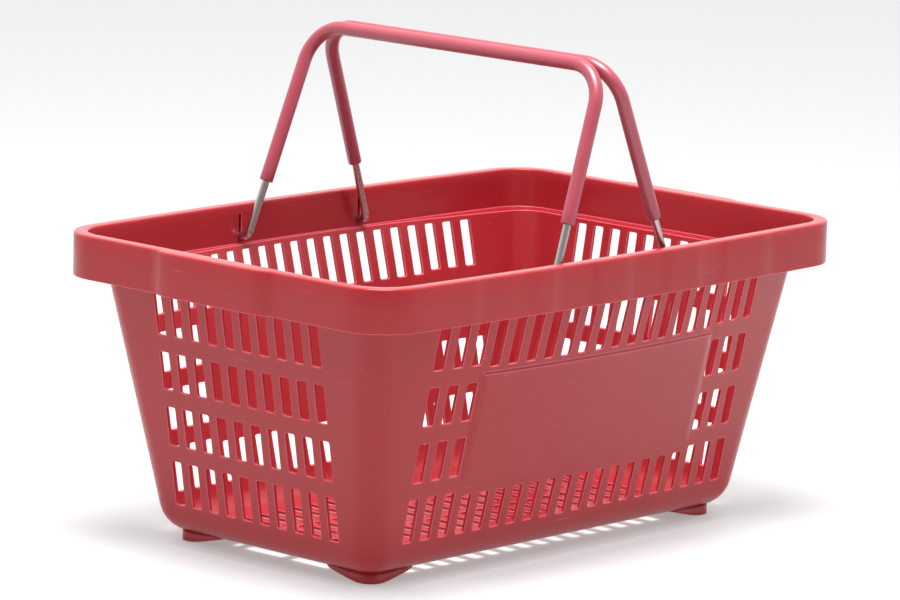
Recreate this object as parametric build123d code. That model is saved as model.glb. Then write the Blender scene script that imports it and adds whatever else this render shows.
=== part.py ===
from build123d import *
import math
import os

os.makedirs("parts", exist_ok=True)

# Hand-held shopping basket. Millimetres, Z up, X along the long side.
# The origin is on the floor, under the middle of the basket.

# ---- overall sizes of the moulded basket ----
rim_length = 430.0          # outside of the skirt, along X, at the corners
rim_width = 297.0           # outside of the skirt, along Y, at mid length
rim_height = 195.0          # floor to top of rim
wall = 2.4                  # tub wall, floor and rim skin

# ---- rim: skirt, top web, inner wall and the ledge it stands on ----
rim_bow = 5.2               # the long sides of the rim stand out by this at mid length
rim_corner = 33.0           # plan radius of the skirt
rim_depth = 9.0             # skirt outside face to the inside face of the rim
skirt_height = 27.5
rim_top_radius = 1.2
end_pad_out = 4.0           # the middle of each short end stands out by this
end_pad_flat = 62.0         # width of the part that is fully out
end_pad_ramp = 18.0         # each sloping shoulder beside it
ledge_drop = 25.5           # top of rim down to the ledge
ledge_top = rim_height - ledge_drop

# ---- tapered tub: outside faces at the ledge, and how fast they close in below it ----
tub_half_length = rim_length / 2 - 18.0
tub_length_draft = 0.168
tub_half_width = rim_width / 2 - 26.0      # at the ends of the long side
tub_width_draft = 0.167
tub_mid_half_width = rim_width / 2 - 9.0   # at the middle of the long side
tub_mid_draft = 0.269
tub_corner = 19.0           # plan radius of the tub corners
floor_height = 6.0          # underside of the floor plate
bottom_radius = 16.0        # rounding between wall and floor

# ---- wall slots; rows as (bottom, top), in shares of the ledge height ----
slot_width = 7.9
slot_corner = 1.2
row_shares = [(0.8053, 0.9705), (0.5959, 0.7404), (0.3835, 0.531), (0.1563, 0.3215)]
row_spans = [(low * ledge_top, high * ledge_top) for low, high in row_shares]
top_row_drop = 2.0          # slots over the panel reach lower by this
bottom_row_drop = 2.8       # slots under the panel start lower by this
long_columns = 20
long_pitch = (rim_length - 130.0) / long_columns
side_columns = 3            # columns left of and right of the plain panel
short_columns = 10
short_pitch = (rim_width - 148.0) / short_columns
end_field_half = short_pitch * short_columns / 2 - 1.0   # slotted field of a short wall
end_field_margin = 2.0      # and over and under its rows
end_field_proud = 0.05      # the field is this much thicker on both faces

# ---- plain panel on each long side, between the first and last slot rows ----
panel_half_length = (long_columns / 2 - side_columns) * long_pitch + 1.5
panel_span = (row_spans[3][1] + 4.0, row_spans[0][0] - 5.0)
panel_proud = 1.8

# ---- floor slots, under the slots of the long walls ----
floor_rows = 4
floor_row_pitch = (rim_width - 137.0) / floor_rows
floor_slot_length = floor_row_pitch * 0.8

# ---- feet ----
foot_flat_radius = 9.0      # flat resting face, concentric with the tub corner
foot_slope = 3.8            # the underside of a foot runs out this much for each unit up
foot_inset = 10.5           # outer wall of the feet, in from the outline of the tub
foot_root = 12.0            # height up to which the feet run inside the bottom rounding

# ---- the two bails ----
wire_diameter = 5.0
sleeve_diameter = 8.8
sleeve_bore_clearance = 0.05   # radial, grip sleeve on the wire
pin_clearance = 0.06           # radial, wire end in its hole in the rim
grip_gap = 0.4                 # between the two grips when they lean together
fold_gap = 3.3                 # between a folded grip and the end of the rim
pivot_x = 54.7
pivot_z = ledge_top + 5.0
bail_reach = rim_length / 2 - rim_depth - fold_gap - sleeve_diameter / 2 - pivot_x
leg_half_spacing = rim_width / 2 - rim_depth - 7.9   # at the pivot axis
bar_half_spacing = leg_half_spacing - 7.6            # where leg and bar would meet
bail_bend = 25.4               # centre line radius between leg and bar
pin_bend = 5.0                 # centre line radius between leg and pin
pin_end = rim_width / 2 - wall - 2.7                 # how far the pins reach along Y
sleeve_start = 41.0            # bare wire between pivot axis and sleeve
left_sleeve_slip = 3.0         # the left sleeve sits this far towards +Y
right_sleeve_slip = -1.5       # and the right one this far towards -Y
insert_slit_width = 2.4        # narrow slit over each wire hole
insert_slit_height = 14.0


def outline(z, half_x, end_y, mid_y, corner):
    """Plan outline with bowed long sides that run smoothly into round corners."""
    cx = half_x - corner
    cy = end_y - corner
    rise = mid_y - cy
    bow = mid_y - end_y
    big = (cx * cx + rise * rise - corner * corner) / (2 * (rise - corner))
    turn = math.asin(cx / (big - corner))
    tx = cx + corner * math.sin(turn)
    ty = cy + corner * math.cos(turn)
    half = (math.pi / 2 - turn) / 2
    mx = cx + corner * math.cos(half)
    my = cy + corner * math.sin(half)
    assert bow > 0
    edges = [
        Line((half_x, -cy), (half_x, cy)),
        ThreePointArc((half_x, cy), (mx, my), (tx, ty)),
        ThreePointArc((tx, ty), (0, mid_y), (-tx, ty)),
        ThreePointArc((-tx, ty), (-mx, my), (-half_x, cy)),
        Line((-half_x, cy), (-half_x, -cy)),
        ThreePointArc((-half_x, -cy), (-mx, -my), (-tx, -ty)),
        ThreePointArc((-tx, -ty), (0, -mid_y), (tx, -ty)),
        ThreePointArc((tx, -ty), (mx, -my), (half_x, -cy)),
    ]
    return Pos(0, 0, z) * make_face(Wire(edges))


def tub_outline(z, inset):
    """Outline of the tub wall at height z, moved inwards by inset."""
    down = ledge_top - z
    half_x = tub_half_length - tub_length_draft * down - inset
    end_y = tub_half_width - tub_width_draft * down - inset
    mid_y = tub_mid_half_width - tub_mid_draft * down - inset
    return outline(z, half_x, end_y, mid_y, tub_corner - inset)


def rim_slab(z0, z1, inset):
    """Upright slab with the outline of the rim, moved inwards by inset."""
    end_y = rim_width / 2 - rim_bow - inset
    face = outline(z0, rim_length / 2 - inset, end_y, rim_width / 2 - inset, rim_corner - inset)
    return extrude(face, z1 - z0)


def end_pad(z0, z1, inset):
    """The parts of the two short ends that stand out from the rim."""
    x0 = rim_length / 2 - rim_depth - inset
    x1 = rim_length / 2 - inset
    y1 = end_pad_flat / 2 - inset / 2
    y2 = y1 + end_pad_ramp
    pts = [(x0, -y2), (x1, -y2), (x1 + end_pad_out, -y1), (x1 + end_pad_out, y1), (x1, y2), (x0, y2)]
    pad = extrude(Pos(0, 0, z0) * make_face(Polyline(*pts, close=True)), z1 - z0)
    return pad + pad.mirror(Plane.YZ)


def tub_solid(z0, z1, inset, radius):
    """Tapered tub filled solid, with a rounded lower edge."""
    body = loft([tub_outline(z0, inset), tub_outline(z1, inset)], ruled=True)
    low = body.edges().filter_by(lambda e: abs(e.center().Z - z0) < 0.01)
    return fillet(low, radius)


def wall_slot(low, high):
    """Face of one upright slot with small round corners."""
    return fillet(Rectangle(slot_width, high - low).vertices(), slot_corner)


def long_side_slots():
    """Slots of both long walls as prisms along Y."""
    cutters = []
    for column in range(long_columns):
        x = (column - (long_columns - 1) / 2) * long_pitch
        central = side_columns <= column < long_columns - side_columns
        for row, (low, high) in enumerate(row_spans):
            if central and row in (1, 2):
                continue
            low_z = low - top_row_drop if central and row == 0 else low
            high_z = high - bottom_row_drop if central and row == 3 else high
            face = Plane.XZ * Pos(x, (low_z + high_z) / 2) * wall_slot(low_z, high_z)
            cutters.append(extrude(face, rim_width / 2, both=True))
    return cutters


def end_field():
    """Flat slotted middle of the short wall on the +X side."""
    z0 = row_spans[-1][0] - end_field_margin
    z1 = row_spans[0][1] + end_field_margin
    x0 = tub_half_length - tub_length_draft * (ledge_top - z0)
    x1 = tub_half_length - tub_length_draft * (ledge_top - z1)
    inner = wall + end_field_proud
    pts = [(x0 - inner, z0), (x0 + end_field_proud, z0), (x1 + end_field_proud, z1), (x1 - inner, z1)]
    section = Plane.XZ * make_face(Polyline(*pts, close=True))
    field = extrude(section, end_field_half + end_field_margin / 4, both=True)
    cutters = []
    for column in range(short_columns):
        y = (column - (short_columns - 1) / 2) * short_pitch
        for low, high in row_spans:
            face = Plane.YZ * Pos(y, (low + high) / 2) * wall_slot(low, high)
            cutters.append(extrude(face, rim_length))
    return field - cutters


def end_windows():
    """Block that clears the middle of both short walls for the slotted fields."""
    z0 = row_spans[-1][0] - end_field_margin / 2
    z1 = row_spans[0][1] + end_field_margin / 2
    return Pos(0, 0, (z0 + z1) / 2) * Box(rim_length, 2 * end_field_half, z1 - z0)


def floor_slots():
    """Slots through the floor plate, in rows across the basket."""
    cutters = []
    for column in range(long_columns):
        x = (column - (long_columns - 1) / 2) * long_pitch
        for row in range(floor_rows):
            y = (row - (floor_rows - 1) / 2) * floor_row_pitch
            face = fillet(Rectangle(slot_width, floor_slot_length).vertices(), slot_corner)
            cutters.append(extrude(Pos(x, y, 0) * face, floor_height + 2 * wall))
    return cutters


def side_panels():
    """Plain panels that stand proud of the two long walls."""
    z0, z1 = panel_span
    proud = loft([tub_outline(z0, -panel_proud), tub_outline(z1, -panel_proud)], ruled=True)
    core = loft([tub_outline(z0, wall / 2), tub_outline(z1, wall / 2)], ruled=True)
    window = Pos(0, 0, (z0 + z1) / 2) * Box(2 * panel_half_length, rim_width, z1 - z0)
    return (proud - core) & window


def wire_holes():
    """Round holes for the wire ends with the narrow insertion slit over each."""
    y_mid = rim_width / 2 - rim_depth
    cutters = []
    for sx in (-1, 1):
        for sy in (-1, 1):
            centre = (sx * pivot_x, sy * y_mid, pivot_z)
            hole = Rot(90, 0, 0) * Cylinder(wire_diameter / 2 + pin_clearance, 8)
            slit = Pos(0, 0, insert_slit_height / 2) * Box(insert_slit_width, 8, insert_slit_height)
            cutters.append(Pos(*centre) * (hole + slit))
    return cutters


def feet():
    """Four low feet, concentric with the tub corners, that run out along both walls."""
    down = ledge_top - floor_height
    x = tub_half_length - tub_length_draft * down - tub_corner
    y = tub_half_width - tub_width_draft * down - tub_corner
    foot = Cone(foot_flat_radius, foot_flat_radius + foot_slope * foot_root, foot_root)
    inner_size = (x + tub_corner - foot_inset, y + tub_corner - foot_inset)
    plan = outline(0, *inner_size, tub_mid_half_width - tub_mid_draft * down - foot_inset,
                   tub_corner - foot_inset)
    prism = extrude(plan, foot_root)
    return [prism & Pos(sx * x, sy * y, foot_root / 2) * foot for sx in (-1, 1) for sy in (-1, 1)]


def rim_band():
    """Skirt, top web, inner rim wall and ledge, still closed over the tub."""
    z0 = rim_height - skirt_height
    z1 = rim_height - wall
    outside = rim_slab(z0, rim_height, 0) + end_pad(z0, rim_height, 0)
    top_edges = outside.edges().filter_by(lambda e: abs(e.center().Z - rim_height) < 0.01)
    outside = fillet(top_edges, rim_top_radius)
    channel = rim_slab(z0 - 1, z1, wall) + end_pad(z0 - 1, z1, wall)
    inner_wall = rim_slab(ledge_top - wall, z1, rim_depth - wall)
    mouth = rim_slab(ledge_top, rim_height + 1, rim_depth)
    return outside - channel + inner_wall - mouth


def basket_shell():
    """The one-piece moulding: tub, floor, rim, panels and feet."""
    tub = tub_solid(floor_height, ledge_top, 0, bottom_radius)
    for foot in feet():
        tub += foot
    hollow = tub_solid(floor_height + wall, rim_height, wall, bottom_radius - wall)
    field = end_field()
    shell = tub - hollow - end_windows() + field + field.mirror(Plane.YZ)
    shell = shell - floor_slots()
    shell = shell - long_side_slots()
    shell = shell + side_panels()
    rim = rim_band() - hollow - wire_holes()
    return shell + rim


def bend_points(before, corner, after, radius):
    """Tangent points and middle of the arc that rounds one corner of a path."""
    u = (before - corner).normalized()
    v = (after - corner).normalized()
    angle = math.acos(max(-1.0, min(1.0, u.dot(v))))
    reach = radius / math.tan(angle / 2)
    centre = corner + (u + v).normalized() * (radius / math.sin(angle / 2))
    middle = centre - (u + v).normalized() * radius
    return corner + u * reach, middle, corner + v * reach


def rounded_path(points, radii):
    """Wire through points, each inner corner rounded by its own radius."""
    edges = []
    start = points[0]
    for i, radius in enumerate(radii):
        a, m, b = bend_points(points[i], points[i + 1], points[i + 2], radius)
        edges.append(Line(start, a))
        edges.append(ThreePointArc(a, m, b))
        start = b
    edges.append(Line(start, points[-1]))
    return Wire(edges)


def bail_point(y, s):
    """Point of an upright bail: y across the basket, s above the pivot axis."""
    return Vector(0, y, s)


def leg_y(s):
    """Half spacing of the legs at s above the pivot axis."""
    return leg_half_spacing + (bar_half_spacing - leg_half_spacing) * s / bail_reach


def bail_wire():
    """Steel wire bail, standing upright over the origin."""
    pts = [
        bail_point(pin_end, 0),
        bail_point(leg_half_spacing, 0),
        bail_point(bar_half_spacing, bail_reach),
        bail_point(-bar_half_spacing, bail_reach),
        bail_point(-leg_half_spacing, 0),
        bail_point(-pin_end, 0),
    ]
    path = rounded_path(pts, [pin_bend, bail_bend, bail_bend, pin_bend])
    start = Plane(origin=path @ 0, z_dir=path % 0)
    return sweep(start * Circle(wire_diameter / 2), path=path)


def grip_sleeve(slip):
    """Tube over legs and bar of one bail, ending above each pin."""
    s0 = sleeve_start - slip
    s1 = sleeve_start + slip
    pts = [
        bail_point(leg_y(s0), s0),
        bail_point(bar_half_spacing, bail_reach),
        bail_point(-bar_half_spacing, bail_reach),
        bail_point(-leg_y(s1), s1),
    ]
    path = rounded_path(pts, [bail_bend, bail_bend])
    start = Plane(origin=path @ 0, z_dir=path % 0)
    outer = sweep(start * Circle(sleeve_diameter / 2), path=path)
    bore = sweep(start * Circle(wire_diameter / 2 + sleeve_bore_clearance), path=path)
    return outer - bore


def place_bail(shape, side):
    """Lean an upright bail of one side (-1 left, +1 right) against the other."""
    bar_x = (sleeve_diameter + grip_gap) / 2
    lean = math.degrees(math.asin((pivot_x - bar_x) / bail_reach))
    return Pos(side * pivot_x, 0, pivot_z) * Rot(0, -side * lean, 0) * shape


parts = {
    "basket_shell": basket_shell(),
    "left_bail_wire": place_bail(bail_wire(), -1),
    "right_bail_wire": place_bail(bail_wire(), 1),
    "left_grip_sleeve": place_bail(grip_sleeve(left_sleeve_slip), -1),
    "right_grip_sleeve": place_bail(grip_sleeve(right_sleeve_slip), 1),
}

for name, shape in parts.items():
    box = shape.bounding_box()
    print(name, shape.is_valid, len(shape.solids()), round(shape.volume), box.min, box.max)
    export_step(shape, "parts/" + name + ".step")
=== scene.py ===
# %% [markdown]
# A red moulded shopping basket with two wire bails, one small step at a time.
# The imported model is loaded first. It gives the bodies that swing and the place of every
# piece, so everything below is drawn in metres in the same frame.

# %% Load the frame
import math
import bpy
import bmesh
import numpy as np
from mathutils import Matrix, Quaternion, Vector
from mathutils.geometry import tessellate_polygon


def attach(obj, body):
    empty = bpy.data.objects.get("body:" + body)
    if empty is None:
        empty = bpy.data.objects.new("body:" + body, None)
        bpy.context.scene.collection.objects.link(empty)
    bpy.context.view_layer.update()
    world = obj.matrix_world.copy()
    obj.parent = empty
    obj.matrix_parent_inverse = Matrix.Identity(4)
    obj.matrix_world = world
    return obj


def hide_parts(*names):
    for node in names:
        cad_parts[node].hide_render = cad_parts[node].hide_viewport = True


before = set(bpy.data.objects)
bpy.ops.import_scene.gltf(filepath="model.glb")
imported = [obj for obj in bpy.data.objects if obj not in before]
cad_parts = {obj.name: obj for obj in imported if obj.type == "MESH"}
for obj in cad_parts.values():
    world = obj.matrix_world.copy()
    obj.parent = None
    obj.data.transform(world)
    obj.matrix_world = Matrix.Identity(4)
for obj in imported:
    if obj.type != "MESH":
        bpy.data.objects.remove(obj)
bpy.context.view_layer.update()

MM = 0.001
scene = bpy.context.scene
scene.view_settings.view_transform = "Standard"   # product colours stay as they are set
scene.view_settings.look = "None"

# %% [markdown]
# The camera stands far away with a long lens, as for a catalogue picture: the four rim
# edges stay almost parallel. It looks a little down into the basket from beyond one corner.

# %% Camera
azimuth, elevation, roll = -0.8183, 0.1790, 0.0261   # radians
looked_at = Vector((0.0594, 0.0596, 0.1309))
distance = 3.602
cam_data = bpy.data.cameras.new("catalogue_camera")
cam_data.lens = 222.1
cam_data.sensor_width = 36.0
cam_data.clip_end = 50.0
camera = bpy.data.objects.new("catalogue_camera", cam_data)
scene.collection.objects.link(camera)
back = Vector((math.sin(azimuth) * math.cos(elevation),
               -math.cos(azimuth) * math.cos(elevation),
               math.sin(elevation)))
camera.location = looked_at + back * distance
camera.rotation_mode = "QUATERNION"
camera.rotation_quaternion = (-back).to_track_quat("-Z", "Y") @ Quaternion((0, 0, 1), roll)
scene.camera = camera
print("camera at", [round(v, 3) for v in camera.location])

# %% [markdown]
# Sizes of the moulding in millimetres. The rim and the tub have the same kind of outline:
# straight short sides, long sides bowed outwards, and round corners that both run into.

# %% Sizes of the moulding
WALL = 2.4
RIM_HALF_X, RIM_END_Y, RIM_MID_Y, RIM_CORNER = 215.0, 143.3, 148.5, 33.0
RIM_TOP, SKIRT_BOTTOM, LEDGE, RIM_DEPTH = 195.0, 167.5, 169.5, 9.0
PAD_OUT = 4.0               # the middle of each short rim end stands out by this
TUB_HALF_X, TUB_END_Y, TUB_MID_Y, TUB_CORNER = 197.0, 122.5, 139.5, 19.0
DRAFT_X, DRAFT_END, DRAFT_MID = 0.168, 0.167, 0.269
FLOOR_UNDER, BOTTOM_R = 6.0, 16.0
SLOT_W, SLOT_R = 7.9, 1.2
LONG_COLUMNS, SHORT_COLUMNS, SIDE_COLUMNS = 20, 10, 3   # slots per wall, and beside a panel
LONG_PITCH, SHORT_PITCH = 15.0, 14.9
LONG_END, SHORT_END = 150.0, 74.5
PANEL_X, PANEL_LOW, PANEL_HIGH, PANEL_PROUD, PANEL_EDGE = 106.5, 58.5, 131.5, 1.0, 1.8
ROWS = [(136.5, 166.3), (101.0, 125.5), (65.0, 90.0), (26.5, 54.5)]
TOP_ROW_DROP, BOTTOM_ROW_DROP = 2.0, 2.8   # slots over and under the panel are lower
ROW_EDGES = [LEDGE, PANEL_HIGH, 95.5, PANEL_LOW, FLOOR_UNDER + BOTTOM_R]
CELL_GAP = 2.75             # inner lines of a slot cell, left and right of its middle
RING_GROW = 0.7             # the ring round a slot stands off by this
PIVOT_X, PIVOT_Z, HOLE_R = 54.7, 174.5, 2.56
print("rim", 2 * (RIM_HALF_X + PAD_OUT), "x", 2 * RIM_MID_Y, "mm, height", RIM_TOP)

# %% [markdown]
# One outline rule serves the whole moulding. A station is a fixed place on the way round:
# on a long side it is a value of x, on a short side a value of y, and in a corner a share
# of the way round the arc. The same station on every level makes clean upright grid lines.

# %% Stations round the basket
def cell_lines(edges, centres, gap):
    """Both edges of each cell, and two lines a little left and right of its middle."""
    middles = np.stack([edges[:-1], centres - gap, centres + gap], -1).ravel()
    return np.append(middles, edges[-1])


long_centres = (np.arange(LONG_COLUMNS) - (LONG_COLUMNS - 1) / 2) * LONG_PITCH
short_centres = (np.arange(SHORT_COLUMNS) - (SHORT_COLUMNS - 1) / 2) * SHORT_PITCH
long_edges = (np.arange(LONG_COLUMNS + 1) - LONG_COLUMNS // 2) * LONG_PITCH
long_edges[[SIDE_COLUMNS, -1 - SIDE_COLUMNS]] = -PANEL_X, PANEL_X
short_edges = (np.arange(SHORT_COLUMNS + 1) - SHORT_COLUMNS // 2) * SHORT_PITCH
long_lines = cell_lines(long_edges, long_centres, CELL_GAP)
short_lines = cell_lines(short_edges, short_centres, CELL_GAP)
CORNER_STEPS = (3, 12, 4)   # along the bow, round the arc, down the short side
LONG_STEPS, SHORT_STEPS, CORNER_COUNT = 3 * LONG_COLUMNS, 3 * SHORT_COLUMNS, sum(CORNER_STEPS)
STATIONS = 2 * (LONG_STEPS + SHORT_STEPS + 2 * CORNER_COUNT)


def bow_radius(cx, rise, corner):
    """Radius of a shallow arc that touches two corner arcs, from their distance and rise."""
    return (cx ** 2 + rise ** 2 - corner ** 2) / (2 * (rise - corner))


def bow_y(x, half_x, end_y, mid_y, corner):
    """Height over x of a shallow arc: highest in the middle, and touching both corner arcs."""
    cx, rise = half_x - corner, mid_y - (end_y - corner)
    big = bow_radius(cx, rise, corner)
    return mid_y - big + np.sqrt(big ** 2 - x ** 2)


def corner_xy(half_x, end_y, mid_y, corner):
    """From the last line of a long side: along the bow, round the arc, down the short side."""
    cx, cy = half_x - corner, end_y - corner
    big = bow_radius(cx, mid_y - cy, corner)
    turn = np.arcsin(cx / (big - corner))
    n_long, n_arc, n_short = CORNER_STEPS
    x_bow = LONG_END + (cx + corner * np.sin(turn) - LONG_END) * np.arange(n_long) / n_long
    y_bow = bow_y(x_bow, half_x, end_y, mid_y, corner)
    angle = turn + (math.pi / 2 - turn) * np.arange(n_arc) / n_arc
    y_end = cy + (SHORT_END - cy) * np.arange(n_short) / n_short
    x = np.concatenate([x_bow, cx + corner * np.sin(angle), half_x + 0 * y_end], -1)
    y = np.concatenate([y_bow, cy + corner * np.cos(angle), y_end], -1)
    return x, y


def ring_xy(half_x, end_y, mid_y, corner):
    """All stations of many levels at once, anticlockwise from the +X end of the +Y side.
    Half the ring is worked out, and the other half is the same turned by 180 degrees."""
    cx, cy = corner_xy(half_x, end_y, mid_y, corner)
    x_long = long_lines[:0:-1] + 0 * half_x
    y_long = bow_y(x_long, half_x, end_y, mid_y, corner)
    y_short = short_lines[:0:-1] + 0 * half_x
    x_short = half_x + 0 * y_short
    x_last = np.concatenate([half_x, cx[..., :0:-1]], -1)
    y_last = np.concatenate([SHORT_END + 0 * half_x, cy[..., :0:-1]], -1)
    x = np.concatenate([x_long, -cx, -x_short, -x_last], -1)
    y = np.concatenate([y_long, cy, y_short, -y_last], -1)
    return np.concatenate([x, -x], -1), np.concatenate([y, -y], -1)


print(STATIONS, "stations round the basket")

# %% [markdown]
# The moulding is one sheet 2.4 mm thick. Its show side starts at the lower edge of the
# skirt, goes up, over the rounded top of the rim, down inside, along the ledge, down the
# inside of the tub and round onto the floor. The other side follows 2.4 mm behind. Each
# level of the profile is a pair: a distance in from the outline and a height, once for
# the show side and once for the back.

# %% Profile of the rim, ledge and lower rounding
def outline_rim(inset):
    """Size numbers of the rim outline moved inwards."""
    return RIM_HALF_X - inset, RIM_END_Y - inset, RIM_MID_Y - inset, RIM_CORNER - inset


def outline_tub(z, inset):
    """Size numbers of the tub outline at height z: it closes in as it goes down."""
    down = LEDGE - z
    return (TUB_HALF_X - DRAFT_X * down - inset, TUB_END_Y - DRAFT_END * down - inset,
            TUB_MID_Y - DRAFT_MID * down - inset, TUB_CORNER - inset + 0 * z)


# inset and height on the show side, inset and height on the back, share of the end pads
rim_profile = np.array([
    (0.0, SKIRT_BOTTOM, WALL, SKIRT_BOTTOM, 1.0), (0.0, 180.0, 2.4, 180.0, 1.0), (0.0, 193.6, 2.4, 191.6, 1.0),
    (0.19, 194.3, 2.6, 192.2, 1.0), (0.7, 194.81, 3.0, 192.5, 1.0), (1.4, 195.0, 3.6, 192.6, 1.0),
    (7.9, 195.0, 5.8, 192.6, 0.1), (8.5, 194.83, 6.3, 192.5, 0.0), (8.87, 194.4, 6.5, 192.2, 0.0),
    (9.0, 193.8, 6.6, 191.8, 0.0), (9.0, 187.0, 6.6, 187.0, 0.0), (9.0, 173.0, 6.6, 173.0, 0.0),
    (9.0, 169.5, 6.6, 167.1, 0.0)])
wall_levels = [(LEDGE, LEDGE - WALL)]
for low_edge, (low, high) in zip(ROW_EDGES[1:], ROWS):
    wall_levels += [(z, z) for z in (high - SLOT_R, low + SLOT_R, low_edge)]
wall_levels = np.array(wall_levels)
round_angle = np.linspace(0, math.pi / 2, 7)[1:]
centre_z = FLOOR_UNDER + BOTTOM_R


def sheet_levels(side):
    """Outline numbers and height of every level: 0 is the show side, 1 the back."""
    rim = outline_rim(rim_profile[:, 2 * side])
    wall = outline_tub(wall_levels[:, side], WALL * (1 - side))
    radius = BOTTOM_R - WALL * (1 - side)
    z_round = centre_z - radius * np.sin(round_angle)
    bottom = outline_tub(z_round, WALL * (1 - side) + radius * (1 - np.cos(round_angle)))
    size = [np.concatenate(parts)[:, None] for parts in zip(rim, wall, bottom)]
    z = np.concatenate([rim_profile[:, 2 * side + 1], wall_levels[:, side], z_round])
    return size, z


FIRST_WALL = len(rim_profile)
LAST_WALL = FIRST_WALL + len(wall_levels) - 1
print(LAST_WALL + len(round_angle) + 1, "levels from skirt edge to floor")

# %% [markdown]
# The middle of each short rim end stands out by 4 mm between two soft shoulders, which
# stiffens the skirt. The long skirt is not one clean curve either: it is made of long, nearly
# flat facets, and light changes slightly from one to the next.

# %% Grid of the sheet
facet_lines = np.array([-134.5, -87.6, -67.0, -33.0, 0.0, 33.0, 67.0, 87.6, 134.5])
FACET_STEP, FACET_HALF = 0.3, 0.6   # how far a facet stands back, and its half border
SKIRT_LEVELS = 6                    # levels of the profile that belong to the skirt
nearest = [np.sort(np.argsort(np.abs(long_lines - x))[:2]) for x in facet_lines]
facet_stations = long_lines.copy()
for (left, right), x in zip(nearest, facet_lines):
    facet_stations[[left, right]] = x - FACET_HALF, x + FACET_HALF
facet_x = np.stack([facet_lines - FACET_HALF, facet_lines + FACET_HALF], -1).ravel()
facet_y = -FACET_STEP * np.repeat(np.arange(len(facet_lines) + 1) % 2, 2)[1:-1]
pad_y = np.array([29.8, 34.5, 40.0, 44.7, 49.4])
pad_x = PAD_OUT * np.array([1.0, 0.96, 0.84, 0.62, 0.0])


def pad_out(y):
    """How far an end stands out at y: a steep shoulder that eases into the flat middle."""
    return np.interp(np.abs(y), pad_y, pad_x)


def sheet_grid(side):
    """Points of the sheet, level by station: outline rule, plus pads and facets on the rim."""
    size, z = sheet_levels(side)
    x, y = ring_xy(*size)
    share = np.zeros(len(z))
    share[:FIRST_WALL] = rim_profile[:, 4]
    at_end = np.abs(x) > RIM_HALF_X - RIM_DEPTH - 1
    x += np.sign(x) * share[:, None] * pad_out(y) * at_end
    on_skirt = (np.arange(len(z)) < SKIRT_LEVELS)[:, None] & (np.abs(x) < LONG_END)
    new_x = np.interp(x, long_lines, facet_stations)
    new_y = bow_y(new_x, *size) + np.interp(new_x, facet_x, facet_y)
    x, y = np.where(on_skirt, new_x, x), np.where(on_skirt, np.sign(y) * new_y, y)
    return np.stack([x, y, np.broadcast_to(z[:, None], x.shape)], -1)


show, hidden = sheet_grid(0), sheet_grid(1)
print("grid", show.shape[:2], "spans", np.ptp(show.reshape(-1, 3), 0).round(1), "mm")

# %% [markdown]
# A slot is a hole in a grid cell. The cell border has twelve points, four on each side,
# so it meets its neighbours point to point. Inside come a ring and the hole, each with
# sixteen points: a rectangle with round corners. A plain cell has nine faces instead.
# The faces of one cell are written once, and whole arrays of cells are made from them.

# %% Cell templates
def border_loop(u, v):
    """The twelve border points of cells, anticlockwise from the lower left corner."""
    iu = [0, 1, 2, 3, 3, 3, 3, 2, 1, 0, 0, 0]
    iv = [0, 0, 0, 0, 1, 2, 3, 3, 3, 3, 2, 1]
    return np.stack([u[..., iu], v[..., iv]], -1)


def slot_loop(centre_u, low, high, grow):
    """Round-cornered rectangle of sixteen points, four to a corner, anticlockwise."""
    radius = SLOT_R + grow
    turn = np.radians([180, 210, 240, 270, 270, 300, 330, 360, 0, 30, 60, 90, 90, 120, 150, 180])
    side_u = np.repeat([-1, 1, 1, -1], 4) * (SLOT_W / 2 - SLOT_R)
    is_high = np.repeat([0, 0, 1, 1], 4)
    u = centre_u[..., None] + side_u + radius * np.cos(turn)
    v_corner = np.where(is_high, high[..., None] - SLOT_R, low[..., None] + SLOT_R)
    v = v_corner + radius * np.sin(turn)
    return np.stack([u, v], -1)


def slot_faces():
    """Four-sided faces between hole and ring, and between ring and border."""
    ring = lambda i: 12 + i % 16
    hole = lambda i: 28 + i % 16
    quads = [(ring(i), ring(i + 1), hole(i + 1), hole(i)) for i in range(16)]
    tris = []
    for c in range(4):
        before, corner, after = (3 * c - 1) % 12, 3 * c, 3 * c + 1
        r = 4 * c
        quads.append((before, corner, ring(r + 1), ring(r)))
        quads.append((corner, after, ring(r + 3), ring(r + 2)))
        tris.append((corner, ring(r + 2), ring(r + 1)))
        quads.append((after, (after + 1) % 12, ring(r + 4), ring(r + 3)))
    return np.array(quads), np.array(tris)


slot_quads, slot_tris = slot_faces()
print("one slot cell:", len(slot_quads), "quads and", len(slot_tris), "triangles")

# %% [markdown]
# Every part of the sheet is worked out twice with one function, once for the show side and
# once for the back, so both have the same faces. Upright walls are cut straight through:
# a hole has the same width and height on both sides, as a mould core leaves it.

# %% Slotted walls
def four_lines(lines):
    """The four grid lines of each cell along one direction."""
    start = np.arange(0, len(lines) - 1, 3)
    return lines[start[:, None] + np.arange(4)]


def wall_cell_lines(lines, centres, side):
    """Lines, slot middle and slot ends for every cell of one wall, rows from the top."""
    u = four_lines(lines)
    v = four_lines(wall_levels[:, side])[:, ::-1]
    row, col = np.meshgrid(np.arange(len(ROWS)), np.arange(len(centres)), indexing="ij")
    row, col = row.ravel(), col.ravel()
    low, high = np.array(ROWS)[row].T
    beside = (col < SIDE_COLUMNS) | (col >= LONG_COLUMNS - SIDE_COLUMNS)
    central = (len(centres) == LONG_COLUMNS) & ~beside
    low = low - TOP_ROW_DROP * (central & (row == 0))
    high = high - BOTTOM_ROW_DROP * (central & (row == 3))
    plain = central & ((row == 1) | (row == 2))
    return u[col], v[row], centres[col], low, high, plain


def cell_points(u, v, centre, low, high):
    """Border, ring and hole of slot cells, in wall coordinates."""
    return np.concatenate([border_loop(u, v), slot_loop(centre, low, high, RING_GROW),
                           slot_loop(centre, low, high, 0.0)], -2)


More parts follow.
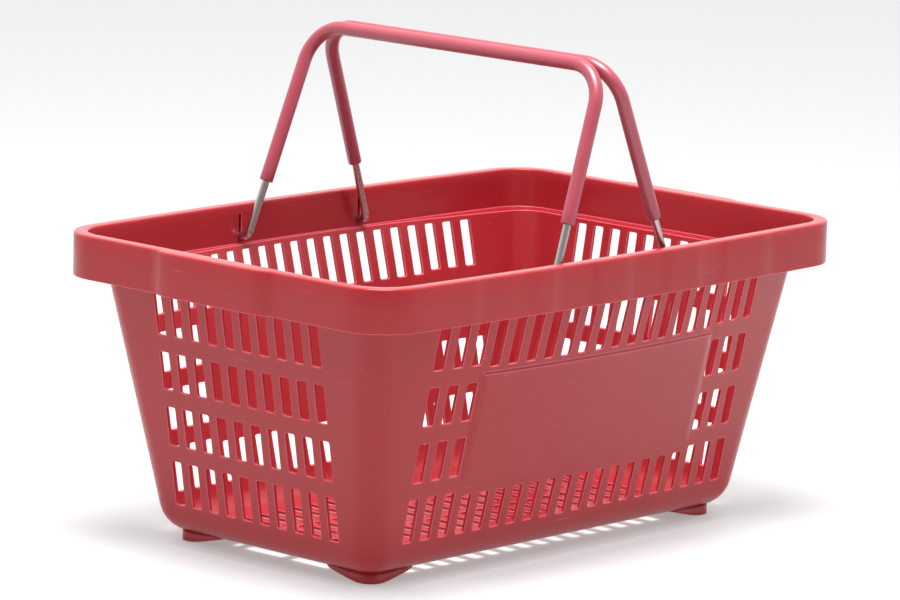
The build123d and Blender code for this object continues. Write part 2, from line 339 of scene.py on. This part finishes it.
def long_wall(uv, sign, side):
    """Wall coordinates (x, z) placed on a long side: y follows the bow at that height."""
    x, z = uv[..., 0], uv[..., 1]
    y = bow_y(x, *outline_tub(z, WALL * (1 - side)))
    return np.stack([sign * x, sign * y, z], -1)


def short_wall(uv, sign, side):
    """Wall coordinates (y, z) placed on a short side, which is flat across."""
    y, z = uv[..., 0], uv[..., 1]
    x = outline_tub(z, WALL * (1 - side))[0]
    return np.stack([sign * x, -sign * y, z], -1)


class Sheet:
    """Collects points of both sides and the faces that they share."""

    def __init__(self):
        self.points, self.faces, self.count = ([], []), [], 0

    def add(self, both, faces):
        """both: (show, hidden) arrays of groups of points; faces: indices within a group."""
        groups, each = both[0].reshape(-1, *both[0].shape[-2:]).shape[:2]
        start = self.count + each * np.arange(groups)[:, None, None]
        for block in faces:
            self.faces += (start + np.array(block)[None]).reshape(-1, len(block[0])).tolist()
        for store, array in zip(self.points, both):
            store.append(array.reshape(-1, 3))
        self.count += groups * each


nine = np.arange(16).reshape(4, 4)
nine_faces = np.stack([nine[:-1, :-1], nine[:-1, 1:], nine[1:, 1:], nine[1:, :-1]], -1)
nine_faces = nine_faces.reshape(-1, 4)
sheet = Sheet()
for sign in (1, -1):
    for lines, centres, place in ((long_lines, long_centres, long_wall),
                                  (short_lines, short_centres, short_wall)):
        slotted, plain_cells = [], []
        for side in (0, 1):
            u, v, centre, low, high, plain = wall_cell_lines(lines, centres, side)
            uv = cell_points(u, v, centre, low, high)[~plain]
            slotted.append(place(uv, sign, side))
            uu = np.broadcast_to(u[:, None, :], (len(u), 4, 4))
            vv = np.broadcast_to(v[:, :, None], (len(v), 4, 4))
            uv = np.stack([uu, vv], -1).reshape(len(u), 16, 2)[plain]
            plain_cells.append(place(uv, sign, side))
        sheet.add(slotted, (slot_quads, slot_tris))
        if plain.any():
            sheet.add(plain_cells, (nine_faces,))
print("walls:", len(sheet.faces), "faces")

# %% [markdown]
# Rim, ledge, corners and the lower rounding are plain strips of the grid: every face that
# is neither in a slotted wall nor at a wire hole is kept.

# %% Strips of the grid
HOOK_CELLS = (6, 13)        # cells of a long side whose rim wall has a wire hole
HOOK_TOP, HOOK_LOW = 9, 12  # levels of the profile over and under such a hole
levels = len(show)
keep = np.ones((levels - 1, STATIONS), bool)
in_half = np.arange(STATIONS) % (STATIONS // 2)
from_short = in_half - LONG_STEPS - CORNER_COUNT
in_cells = (in_half < LONG_STEPS) | ((from_short >= 0) & (from_short < SHORT_STEPS))
keep[FIRST_WALL:LAST_WALL] &= ~in_cells
keep[HOOK_TOP:HOOK_LOW] &= ~np.isin(in_half // 3, HOOK_CELLS)
level, station = np.nonzero(keep)
following = (station + 1) % STATIONS
corners = [(level, station), (level, following), (level + 1, following), (level + 1, station)]
strip = [np.stack([grid[i, j] for i, j in corners], 1) for grid in (show, hidden)]
sheet.add(strip, (np.array([[0, 1, 2, 3]]),))
print("strips:", int(keep.sum()), "faces")

# %% [markdown]
# Where a wire hooks in, the inner wall of the rim has a round hole with a narrow slit over
# it: the wire end is pushed in there. A grid can't follow that shape, so the cell is filled
# by triangles between its border and the keyhole.

# %% Holes for the wire ends
SLIT_HALF, SLIT_MIDDLE, SLIT_TOP = 1.2, 9.0, 14.0   # half width, and heights over the pivot
arc = np.radians(np.linspace(118, 422, 15))         # the round part, open at the top
key_u = np.concatenate([HOLE_R * np.cos(arc), np.repeat([SLIT_HALF, -SLIT_HALF], 2)])
key_z = np.concatenate([HOLE_R * np.sin(arc), [SLIT_MIDDLE, SLIT_TOP, SLIT_TOP, SLIT_MIDDLE]])
key_z += PIVOT_Z
for sign in (1, -1):
    for hand in (1, -1):
        cells = []
        for side in (0, 1):
            u = four_lines(long_lines)[HOOK_CELLS[1]]
            v = rim_profile[HOOK_TOP:HOOK_LOW + 1, 2 * side + 1][::-1]
            border = border_loop(u, v)
            hole = np.stack([PIVOT_X + key_u, key_z], -1)
            uv = np.concatenate([border, hole])
            y = bow_y(uv[:, 0], *outline_rim(rim_profile[HOOK_TOP + 1, 2 * side]))
            cells.append(np.stack([hand * uv[:, 0], sign * y, uv[:, 1]], -1)[None])
        rings = [[Vector((*p, 0)) for p in border], [Vector((*p, 0)) for p in hole[::-1]]]
        order = np.concatenate([np.arange(12), np.arange(len(uv) - 1, 11, -1)])
        sheet.add(cells, (order[np.array(tessellate_polygon(rings))],))
print("wire holes at x", PIVOT_X, "mm, z", PIVOT_Z, "mm")

# %% [markdown]
# The floor continues the upright slots of the long walls: twenty columns, four rows across.
# A flat end piece joins the outer columns to the rounded ends.

# %% Slotted floor
FLOOR_PITCH, FLOOR_SLOT_HALF = 40.0, 16.0   # between rows, and half a slot's length
floor_rows = (np.arange(4) - 1.5) * FLOOR_PITCH
row_half, straight_half = FLOOR_PITCH / 2, FLOOR_SLOT_HALF - SLOT_R
floor_cells = []
for grid in (show, hidden):
    edge = grid[-1, :LONG_STEPS + 1, 1][::-1]
    u = np.repeat(four_lines(long_lines)[None], 4, 0).reshape(-1, 4)
    v = floor_rows[:, None] + [-row_half, -straight_half, straight_half, row_half]
    v = np.repeat(v[:, None], LONG_COLUMNS, 1).reshape(-1, 4)
    centre, middle = np.tile(long_centres, 4), np.repeat(floor_rows, LONG_COLUMNS)
    uv = cell_points(u, v, centre, middle - FLOOR_SLOT_HALF, middle + FLOOR_SLOT_HALF)
    limit = np.interp(uv[..., 0], long_lines, edge)
    on_border = np.abs(uv[..., 1]) > 2 * FLOOR_PITCH - 1
    y = np.where(on_border, np.sign(uv[..., 1]) * limit, uv[..., 1])
    floor_cells.append(np.stack([uv[..., 0], y, 0 * y + grid[-1, 0, 2]], -1))
sheet.add(floor_cells, (slot_quads, slot_tris))

cross = (floor_rows[:, None] + [-straight_half, straight_half, row_half]).ravel()[:-1]
for turned in (1, -1):
    ends = []
    for grid in (show, hidden):
        outer = grid[-1, LONG_STEPS:STATIONS // 2 + 1, :2]
        inner = np.stack([0 * cross - LONG_END, cross], -1)
        flat = np.concatenate([outer, inner]) * turned
        ends.append(np.column_stack([flat, 0 * flat[:, 0] + grid[-1, 0, 2]])[None])
    loop = [Vector(p) for p in ends[0][0]]
    sheet.add(ends, (np.array(tessellate_polygon([loop])),))
print("floor added,", len(sheet.faces), "faces a side")

# %% [markdown]
# Now the two sides become one closed solid. Points that fall together are merged, the back
# gets the same faces, and every free edge (slot, wire hole, skirt edge) gets a wall from one
# side to the other. The plain panels stand 1 mm proud on the outside only, and slope down
# to the wall round their border.

# %% Join both sides
def merge(first, second, faces):
    """Same-place points of the first array become one in both arrays and in the faces."""
    keys = np.round(first * 1000).astype(np.int64)
    _, index, inverse = np.unique(keys, axis=0, return_index=True, return_inverse=True)
    inverse = inverse.ravel()
    return first[index], second[index], [[int(inverse[i]) for i in f] for f in faces]


def free_edges(faces):
    """Edges that only one face uses, in that face's direction."""
    pairs = np.array([(a, b) for f in faces for a, b in zip(f, f[1:] + f[:1])])
    _, inverse, count = np.unique(np.sort(pairs, 1), axis=0,
                                  return_inverse=True, return_counts=True)
    return pairs[count[inverse.ravel()] == 1]


LONG_WALL_Y = 90.0   # all of a long wall, and nothing else, is further out than this
front, rear, faces = merge(*(np.concatenate(p) for p in sheet.points), sheet.faces)
n = len(front)
rim_edges = free_edges(faces)
middle = np.array([front[f].mean(0) for f in faces])
on_panel = ((np.abs(middle[:, 0]) < PANEL_X) & (middle[:, 2] > PANEL_LOW)
            & (middle[:, 2] < PANEL_HIGH) & (np.abs(middle[:, 1]) > LONG_WALL_Y))
panel_faces = [f for f, hit in zip(faces, on_panel) if hit]
panel_points = np.unique([i for f in panel_faces for i in f])
raised = rear[panel_points] + np.sign(rear[panel_points]) * [0, PANEL_PROUD, 0]
raised[:, 0] = np.clip(raised[:, 0], -PANEL_X + PANEL_EDGE, PANEL_X - PANEL_EDGE)
raised[:, 2] = np.clip(raised[:, 2], PANEL_LOW + PANEL_EDGE, PANEL_HIGH - PANEL_EDGE)
raised_index = np.full(n, -1)
raised_index[panel_points] = 2 * n + np.arange(len(panel_points))
points = np.concatenate([front, rear, raised])
all_faces = list(faces)
all_faces += [[i + n for i in f[::-1]] for f, hit in zip(faces, on_panel) if not hit]
all_faces += [[int(raised_index[i]) for i in f[::-1]] for f in panel_faces]
all_faces += [[int(a), int(a + n), int(b + n), int(b)] for a, b in rim_edges]
all_faces += [[int(a + n), int(raised_index[a]), int(raised_index[b]), int(b + n)]
              for a, b in free_edges(panel_faces)]
print(len(points), "points,", len(all_faces), "faces,", len(rim_edges), "edge walls")


def new_piece(name, vertices, polygons, body, slot_name, *stands_for):
    """Mesh object at the origin, riding on a body, with all faces pointing outwards."""
    mesh = bpy.data.meshes.new(name)
    mesh.from_pydata((np.asarray(vertices) * MM).tolist(), [], polygons)
    mesh.validate()
    bm = bmesh.new()
    bm.from_mesh(mesh)
    bmesh.ops.remove_doubles(bm, verts=bm.verts, dist=0.001 * MM)
    bmesh.ops.recalc_face_normals(bm, faces=bm.faces)
    open_edges = sum(not e.is_manifold for e in bm.edges)
    bm.to_mesh(mesh)
    bm.free()
    mesh.shade_smooth()
    piece = bpy.data.objects.new(name, mesh)
    scene.collection.objects.link(piece)
    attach(piece, body)
    if stands_for:
        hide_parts(*stands_for)
    print(name, len(mesh.polygons), "faces,", open_edges, "open edges")
    return piece


def soften(piece, width, segments=2, angle=40):
    """Small round on every edge sharper than the angle, as a mould leaves it."""
    bevel = piece.modifiers.new("edge_round", "BEVEL")
    bevel.width, bevel.segments = width * MM, segments
    bevel.limit_method, bevel.angle_limit = "ANGLE", math.radians(angle)
    bevel.use_clamp_overlap = False
    bevel.harden_normals = True
    # the rounds take the second material, a paler pink that is a painted highlight along the edges
    bevel.material = 1
    return piece


basket = soften(new_piece("moulded_basket", points, all_faces, "basket", "basket_plastic",
                          "basket_shell"), 0.45)

# %% [markdown]
# Under each corner the basket has a low foot. Its outer wall follows the tub corner, and its
# underside is flat in the middle and runs out along both walls until it meets the floor.
# The top of the foot ends inside the 2.4 mm skin, so it never stands up into the basket,
# but it can be seen through the floor slots. A foot is a polar grid round the corner axis:
# every ray runs from the axis to the outer wall.

# %% Feet
FOOT_FLAT, FOOT_SLOPE, FOOT_INSET, FOOT_REACH = 9.0, 3.8, 10.5, 30.0
FOOT_ROUND, FOOT_ROUND_IN = 0.6, 0.18   # lower outer edge: its size, and its middle ring
foot_x = TUB_HALF_X - DRAFT_X * (LEDGE - FLOOR_UNDER) - TUB_CORNER
foot_y = TUB_END_Y - DRAFT_END * (LEDGE - FLOOR_UNDER) - TUB_CORNER
foot_wall = TUB_CORNER - FOOT_INSET


def skin_height(x, y):
    """Height of the middle of the skin over a point x, y out from the corner axis."""
    out = np.where((x > 0) & (y > 0), np.hypot(x, y), np.maximum(np.maximum(x, y), 0))
    level = np.clip((out - 3) / (BOTTOM_R - WALL / 2), 0, 1)
    return FLOOR_UNDER + BOTTOM_R - (BOTTOM_R - WALL / 2) * np.sqrt(1 - level ** 2)


def foot_grid(steps=96):
    """Rings from the middle of the underside outwards, up the outer wall and back over the
    top. The outer limit is the wall line or the reach along the walls, whichever is nearer;
    the underside rises with the distance past the flat part."""
    angle = np.linspace(0, 2 * math.pi, steps, endpoint=False)
    c, s = np.cos(angle), np.sin(angle)
    flat_x, flat_y = foot_wall / np.maximum(c, 1e-9), foot_wall / np.maximum(s, 1e-9)
    limit = np.where((c > 0) & (s > 0), foot_wall, np.minimum(flat_x, flat_y))
    limit = np.minimum(limit, FOOT_REACH)
    inner = np.minimum(FOOT_FLAT, limit)
    sloping = (limit - FOOT_ROUND - inner).clip(0)
    r = [inner * share for share in (0.0, 0.5, 1.0)]
    r += [inner + sloping * share for share in (0.25, 0.5, 0.75, 1.0)]
    under = [np.maximum(q - FOOT_FLAT, 0) / FOOT_SLOPE for q in r]
    edge = np.maximum(limit - FOOT_FLAT, 0) / FOOT_SLOPE
    r += [limit - FOOT_ROUND_IN, limit, limit, limit * 0.6, 0 * limit]
    x, y = np.array(r) * c, np.array(r) * s
    top = [edge + FOOT_ROUND_IN, edge + FOOT_ROUND]
    top.append(np.maximum(skin_height(x[-3], y[-3]), edge + FOOT_ROUND + 0.1))
    top += [skin_height(x[i], y[i]) for i in (-2, -1)]
    return x, y, np.array(under + top)


gx, gy, gz = foot_grid()
foot_points, foot_faces = [], []
row, col = np.meshgrid(np.arange(len(gx) - 1), np.arange(gx.shape[1]), indexing="ij")
nxt = (col + 1) % gx.shape[1]
for number, (sx, sy) in enumerate(((1, 1), (1, -1), (-1, 1), (-1, -1))):
    foot_points.append(np.stack([sx * (foot_x + gx), sy * (foot_y + gy), gz], -1).reshape(-1, 3))
    quads = np.stack([row * gx.shape[1] + col, row * gx.shape[1] + nxt,
                      (row + 1) * gx.shape[1] + nxt, (row + 1) * gx.shape[1] + col], -1)
    foot_faces += (quads.reshape(-1, 4) + number * gx.size).tolist()
feet = new_piece("corner_feet", np.concatenate(foot_points), foot_faces, "basket", "basket_plastic")
print("feet at", round(foot_x, 1), round(foot_y, 1), "mm")

# %% [markdown]
# Each bail is one wire: a hooked end, a leg, a wide bend, the bar, and back down. The path
# is made of straight runs and arcs in one plane. The plane leans inwards so that the two
# bars meet over the middle of the basket.

# %% Path of a bail
REACH, LEG_Y, BAR_Y, PIN_END = 143.6, 131.6, 124.0, 143.4
PIN_BEND, BAIL_BEND = 5.0, 25.4
WIRE_R, SLEEVE_R, SLEEVE_BORE = 2.5, 4.4, 2.55
GRIP_GAP, SLEEVE_START, SLEEVE_STEPS = 0.4, 41.0, 28
lean = math.asin((PIVOT_X - SLEEVE_R - GRIP_GAP / 2) / REACH)


def rounded_line(corners, radii, arc_step=0.12, run_step=12.0):
    """Points of a line whose corners are arcs: runs are cut evenly, arcs by a fixed angle."""
    corners = np.array(corners, float)
    out, start = [], corners[0]
    for before, corner, after, radius in zip(corners, corners[1:], corners[2:], radii):
        u, v = before - corner, after - corner
        u, v = u / np.linalg.norm(u), v / np.linalg.norm(v)
        half = math.acos(np.clip(u @ v, -1, 1)) / 2
        a, b = corner + u * radius / math.tan(half), corner + v * radius / math.tan(half)
        centre = corner + (u + v) / np.linalg.norm(u + v) * radius / math.sin(half)
        runs = max(2, int(np.linalg.norm(a - start) / run_step))
        out.append(start + (a - start) * np.arange(runs)[:, None] / runs)
        p, q = a - centre, b - centre
        sweep = math.atan2(p[0] * q[1] - p[1] * q[0], p @ q)
        pieces = max(6, int(abs(sweep) / arc_step))
        turn = sweep * np.arange(pieces) / pieces
        out.append(centre + np.stack([p[0] * np.cos(turn) - p[1] * np.sin(turn),
                                      p[0] * np.sin(turn) + p[1] * np.cos(turn)], -1))
        start = b
    runs = max(2, int(np.linalg.norm(corners[-1] - start) / run_step))
    out.append(start + (corners[-1] - start) * np.arange(runs + 1)[:, None] / runs)
    return np.concatenate(out)


def tube(path, radii, steps=20):
    """Rings round a plane path. radii has one (place along, radius) per ring: the place is a
    point number, with fractions for the ends, and each ring stands square to the path."""
    place, radius = np.array(radii).T
    number = np.arange(len(path))
    centre = np.stack([np.interp(place, number, path[:, k]) for k in (0, 1)], -1)
    slope = np.gradient(path, axis=0)
    tangent = np.stack([np.interp(place, number, slope[:, k]) for k in (0, 1)], -1)
    tangent /= np.linalg.norm(tangent, axis=1)[:, None]
    normal = np.stack([-tangent[:, 1], tangent[:, 0]], -1)
    angle = np.linspace(0, 2 * math.pi, steps, endpoint=False)
    flat = centre[:, None] + normal[:, None] * (radius[:, None] * np.cos(angle))[..., None]
    across = radius[:, None] * np.sin(angle)
    return np.stack([across, flat[..., 0], flat[..., 1]], -1)


def ring_faces(rings, steps, closed):
    """Quads between following rings, joined in a loop, or with a cap on both ends."""
    bands = rings if closed else rings - 1
    row, col = np.meshgrid(np.arange(bands), np.arange(steps), indexing="ij")
    up, nxt = (row + 1) % rings, (col + 1) % steps
    quads = np.stack([row * steps + col, row * steps + nxt,
                      up * steps + nxt, up * steps + col], -1)
    last = (rings - 1) * steps
    caps = [] if closed else [list(range(steps)), list(range(last, last + steps))]
    return quads.reshape(-1, 4).tolist() + caps


def lean_over(points, hand):
    """Upright bail points (across, y, height) leant about the pivot axis, placed at a side."""
    x, y, s = points.reshape(-1, 3).T
    return np.stack([hand * (PIVOT_X + x * math.cos(lean) - s * math.sin(lean)), y,
                     PIVOT_Z + x * math.sin(lean) + s * math.cos(lean)], -1)


wire_line = rounded_line([(PIN_END, 0), (LEG_Y, 0), (BAR_Y, REACH), (-BAR_Y, REACH),
                          (-LEG_Y, 0), (-PIN_END, 0)],
                         [PIN_BEND, BAIL_BEND, BAIL_BEND, PIN_BEND])
print("bail path", len(wire_line), "points, lean", round(math.degrees(lean), 1), "degrees")

# %% [markdown]
# The wire ends are cut and slightly rounded. The grip is a soft tube pushed over the wire:
# outside, two cut ends with a small round, and the bore inside, joined as one closed tube.

# %% Wires and grips
def ends_rounded(last, radius, soft):
    """Ring places and radii for a solid rod: full size, with small rounds at both ends."""
    t = np.array([0.0, 0.35, 0.7, 1.0])
    shrink = radius - soft * (1 - np.sqrt(1 - (1 - t) ** 2))
    first = np.stack([t * soft / 6.0, shrink], -1)
    inner = np.stack([np.arange(1, last), np.full(last - 1, radius)], -1)
    final = np.stack([last - t[::-1] * soft / 6.0, shrink[::-1]], -1)
    return np.concatenate([first, inner, final])


def leg_y(height):
    """How far a leg stands from the middle at a height along it: it closes in evenly."""
    return LEG_Y + (BAR_Y - LEG_Y) * height / REACH


for hand, label in ((-1, "left"), (1, "right")):
    rings = tube(wire_line, ends_rounded(len(wire_line) - 1, WIRE_R, 0.6))
    new_piece(label + "_bail_rod", lean_over(rings, hand),
              ring_faces(len(rings), rings.shape[1], False),
              label + "_bail", "zinc_wire", label + "_bail_wire")

for hand, label, slip in ((-1, "left", 3.0), (1, "right", -1.5)):
    low, high = SLEEVE_START - slip, SLEEVE_START + slip
    line = rounded_line([(leg_y(low), low), (BAR_Y, REACH), (-BAR_Y, REACH), (-leg_y(high), high)],
                        [BAIL_BEND, BAIL_BEND], arc_step=0.1, run_step=8.0)
    last = len(line) - 1
    along = np.arange(1, last)
    cut = [(0.075, SLEEVE_R), (0.02, SLEEVE_R - 0.2), (0.0, SLEEVE_R - 0.55),
           (0.0, SLEEVE_BORE + 0.3), (0.03, SLEEVE_BORE)]
    outside = [(i, SLEEVE_R) for i in along]
    far = [(last - place, radius) for place, radius in cut]
    bore = [(i, SLEEVE_BORE) for i in along[::-1]]
    rings = tube(line, outside + far + bore + cut[::-1], SLEEVE_STEPS)
    new_piece(label + "_grip", lean_over(rings, hand), ring_faces(len(rings), SLEEVE_STEPS, True),
              label + "_bail", "grip_plastic", label + "_grip_sleeve")

# %% [markdown]
# Colours are given as sRGB hex values, as they would be picked from a paint chart, and one
# function turns them into the linear values that the shader needs. One more small
# function adds any node with its settings and links.

# %% Colour and node helpers
def linear(hex_colour):
    """sRGB hex to linear RGBA by the standard curve."""
    values = np.array([int(hex_colour[i:i + 2], 16) for i in (1, 3, 5)]) / 255
    low, high = values / 12.92, ((values + 0.055) / 1.055) ** 2.4
    return (*np.where(values <= 0.04045, low, high).tolist(), 1.0)


def add_node(tree, kind, settings=None, links=None, **sockets):
    """New node with its properties, socket values and incoming links set."""
    node = tree.nodes.new(kind)
    for key, value in (settings or {}).items():
        setattr(node, key, value)
    for key, value in sockets.items():
        node.inputs[key.replace("_", " ")].default_value = value
    for key, source in (links or {}).items():
        tree.links.new(source, node.inputs[key])
    return node


def new_material(name):
    """Material with an empty node tree: returns it, its tree and Object coordinates."""
    material = bpy.data.materials.new(name)
    material.use_nodes = True
    material.node_tree.nodes.clear()
    coordinates = add_node(material.node_tree, "ShaderNodeTexCoord")
    return material, material.node_tree, coordinates.outputs["Object"]


# %% [markdown]
# The basket is injection-moulded polypropylene, dyed red in the mass. It is semi-gloss, with
# a faint orange-peel skin from the mould, with grains about a millimetre across, flow marks
# about 7 cm across that shift the tone a little, and fine scratches from years of
# stacking. The second material goes on the narrow rounds that the Bevel modifier makes: its
# paler, pinker red is a painted highlight, the bright glint along every edge.

# %% Moulded red polypropylene
def polypropylene(name, dark, light, roughness):
    """Dyed polypropylene: flow marks in the tone, orange peel in the bump, light inside."""
    material, tree, place = new_material(name)
    cloud = add_node(tree, "ShaderNodeTexNoise", links={"Vector": place},
                     Scale=14.0, Detail=3.0, Roughness=0.5)
    tone = add_node(tree, "ShaderNodeMix", {"data_type": "RGBA"}, {0: cloud.outputs["Fac"]})
    tone.inputs[6].default_value, tone.inputs[7].default_value = linear(dark), linear(light)
    peel = add_node(tree, "ShaderNodeTexNoise", links={"Vector": place},
                    Scale=900.0, Detail=2.0, Roughness=0.5)
    skin = add_node(tree, "ShaderNodeBump", links={"Height": peel.outputs["Fac"]},
                    Strength=0.12, Distance=0.00008)
    colour = tone.outputs[2]
    for turn, stretch in (((0.3, 0.5, 0.2), (30, 700, 700)), ((1.1, 0.2, 0.9), (500, 25, 600))):
        along = add_node(tree, "ShaderNodeMapping", links={"Vector": place},
                         Rotation=turn, Scale=stretch)
        streak = add_node(tree, "ShaderNodeTexNoise", links={"Vector": along.outputs["Vector"]},
                          Scale=1.0, Detail=1.0)
        mark = add_node(tree, "ShaderNodeMapRange", links={"Value": streak.outputs["Fac"]})
        mark.inputs["From Min"].default_value, mark.inputs["From Max"].default_value = 0.75, 0.83
        mark.inputs["To Max"].default_value = 0.22
        worn = add_node(tree, "ShaderNodeMix", {"data_type": "RGBA"},
                        {0: mark.outputs["Result"], 6: colour})
        worn.inputs[7].default_value = linear("#d98a90")
        colour = worn.outputs[2]
    shader = add_node(tree, "ShaderNodeBsdfPrincipled",
                      links={"Base Color": colour, "Normal": skin.outputs["Normal"]},
                      Roughness=roughness, IOR=1.49, Specular_IOR_Level=0.42,
                      Subsurface_Weight=0.5, Subsurface_Scale=0.001,
                      Subsurface_Radius=(5.0, 0.5, 0.6))
    add_node(tree, "ShaderNodeOutputMaterial", links={"Surface": shader.outputs["BSDF"]})
    return material


red_pp = polypropylene("moulded_red_polypropylene", "#9d2128", "#a5272e", 0.24)
# painted highlight: paler pinker red on the edge rounds, standing in for light glinting along every edge
edge_highlight_paint = polypropylene("polypropylene_painted_edge_highlight", "#bd4a5c", "#c75868", 0.24)
for piece in (basket, feet):
    piece.data.materials.append(red_pp)
    piece.data.materials.append(edge_highlight_paint)
print("materials", red_pp.name, edge_highlight_paint.name)

# %% [markdown]
# The wire is bright zinc-plated steel: a soft grey metal. The plating is slightly cloudy,
# in patches about 8 mm across, so the gloss changes along the wire.

# %% Zinc-plated drawn wire
zinc, tree, place = new_material("zinc_plated_steel_wire")
cloud = add_node(tree, "ShaderNodeTexNoise", links={"Vector": place},
                 Scale=120.0, Detail=3.0, Roughness=0.6)
shade = add_node(tree, "ShaderNodeMapRange", links={"Value": cloud.outputs["Fac"]})
shade.inputs["To Min"].default_value, shade.inputs["To Max"].default_value = 0.16, 0.3
shader = add_node(tree, "ShaderNodeBsdfPrincipled", links={"Roughness": shade.outputs["Result"]},
                  Base_Color=linear("#b9b5b3"), Metallic=1.0)
add_node(tree, "ShaderNodeOutputMaterial", links={"Surface": shader.outputs["BSDF"]})
for label in ("left", "right"):
    bpy.data.objects[label + "_bail_rod"].data.materials.append(zinc)

# %% [markdown]
# The grips are extruded soft vinyl, a pinker red than the basket and satin, so the overhead
# light lies on them as a broad soft streak. Their tone is slightly mottled.

# %% Soft vinyl grips
vinyl, tree, place = new_material("extruded_soft_vinyl")
cloud = add_node(tree, "ShaderNodeTexNoise", links={"Vector": place},
                 Scale=60.0, Detail=3.0, Roughness=0.5)
tone = add_node(tree, "ShaderNodeMix", {"data_type": "RGBA"}, {0: cloud.outputs["Fac"]})
tone.inputs[6].default_value, tone.inputs[7].default_value = linear("#9a3444"), linear("#a43e4f")
shader = add_node(tree, "ShaderNodeBsdfPrincipled", links={"Base Color": tone.outputs[2]},
                  Roughness=0.34, IOR=1.52, Specular_IOR_Level=0.8)
add_node(tree, "ShaderNodeOutputMaterial", links={"Surface": shader.outputs["BSDF"]})
for label in ("left", "right"):
    bpy.data.objects[label + "_grip"].data.materials.append(vinyl)

# %% [markdown]
# A plain pale floor and soft white light from all round, with one large soft panel over
# the near side, as in a product studio. The floor paper is light grey with a little light of
# its own: together with the lamps it comes out just white, and a brighter floor would wash
# out the red of the walls from below.

# %% Floor and light
FLOOR_HALF = 8.0
ground = bpy.data.meshes.new("studio_floor")
ground.from_pydata([(-FLOOR_HALF, -FLOOR_HALF, 0), (FLOOR_HALF, -FLOOR_HALF, 0),
                    (FLOOR_HALF, FLOOR_HALF, 0), (-FLOOR_HALF, FLOOR_HALF, 0)], [], [(0, 1, 2, 3)])
studio_floor = bpy.data.objects.new("studio_floor", ground)
scene.collection.objects.link(studio_floor)
paper, tree, place = new_material("pale_studio_paper")
grain = add_node(tree, "ShaderNodeTexNoise", links={"Vector": place}, Scale=300.0, Detail=2.0)
tone = add_node(tree, "ShaderNodeMix", {"data_type": "RGBA"}, {0: grain.outputs["Fac"]})
tone.inputs[6].default_value, tone.inputs[7].default_value = linear("#acacac"), linear("#b2b2b2")
shader = add_node(tree, "ShaderNodeBsdfPrincipled", links={"Base Color": tone.outputs[2]},
                  Roughness=0.9, Emission_Color=(1, 1, 1, 1), Emission_Strength=0.32)
add_node(tree, "ShaderNodeOutputMaterial", links={"Surface": shader.outputs["BSDF"]})
ground.materials.append(paper)

world = bpy.data.worlds.new("white_studio")
world.use_nodes = True
# white paper all round: brightest behind the basket, dimmer on the camera's side of the room
room = world.node_tree
where = add_node(room, "ShaderNodeTexCoord")
facing = add_node(room, "ShaderNodeVectorMath", {"operation": "DOT_PRODUCT"},
                  {0: where.outputs["Generated"]})
facing.inputs[1].default_value = (0.70, 0.66, 0.28)
level = add_node(room, "ShaderNodeMapRange", links={"Value": facing.outputs["Value"]})
for socket, value in (("From Min", -0.9), ("From Max", 0.5), ("To Min", 0.3), ("To Max", 1.25)):
    level.inputs[socket].default_value = value
room.links.new(level.outputs["Result"], room.nodes["Background"].inputs["Strength"])
room.nodes["Background"].inputs["Color"].default_value = (1, 1, 1, 1)
scene.world = world


def soft_panel(name, place, size, power):
    """Square area light aimed at the middle of the basket."""
    data = bpy.data.lights.new(name, "AREA")
    data.size, data.energy = size, power
    lamp = bpy.data.objects.new(name, data)
    lamp.location = place
    aim = Vector((0, 0, 0.12)) - Vector(place)
    lamp.rotation_euler = aim.to_track_quat("-Z", "Y").to_euler()
    scene.collection.objects.link(lamp)
    return lamp


soft_panel("overhead_panel", (-0.3, -0.25, 2.0), 1.0, 66.0)
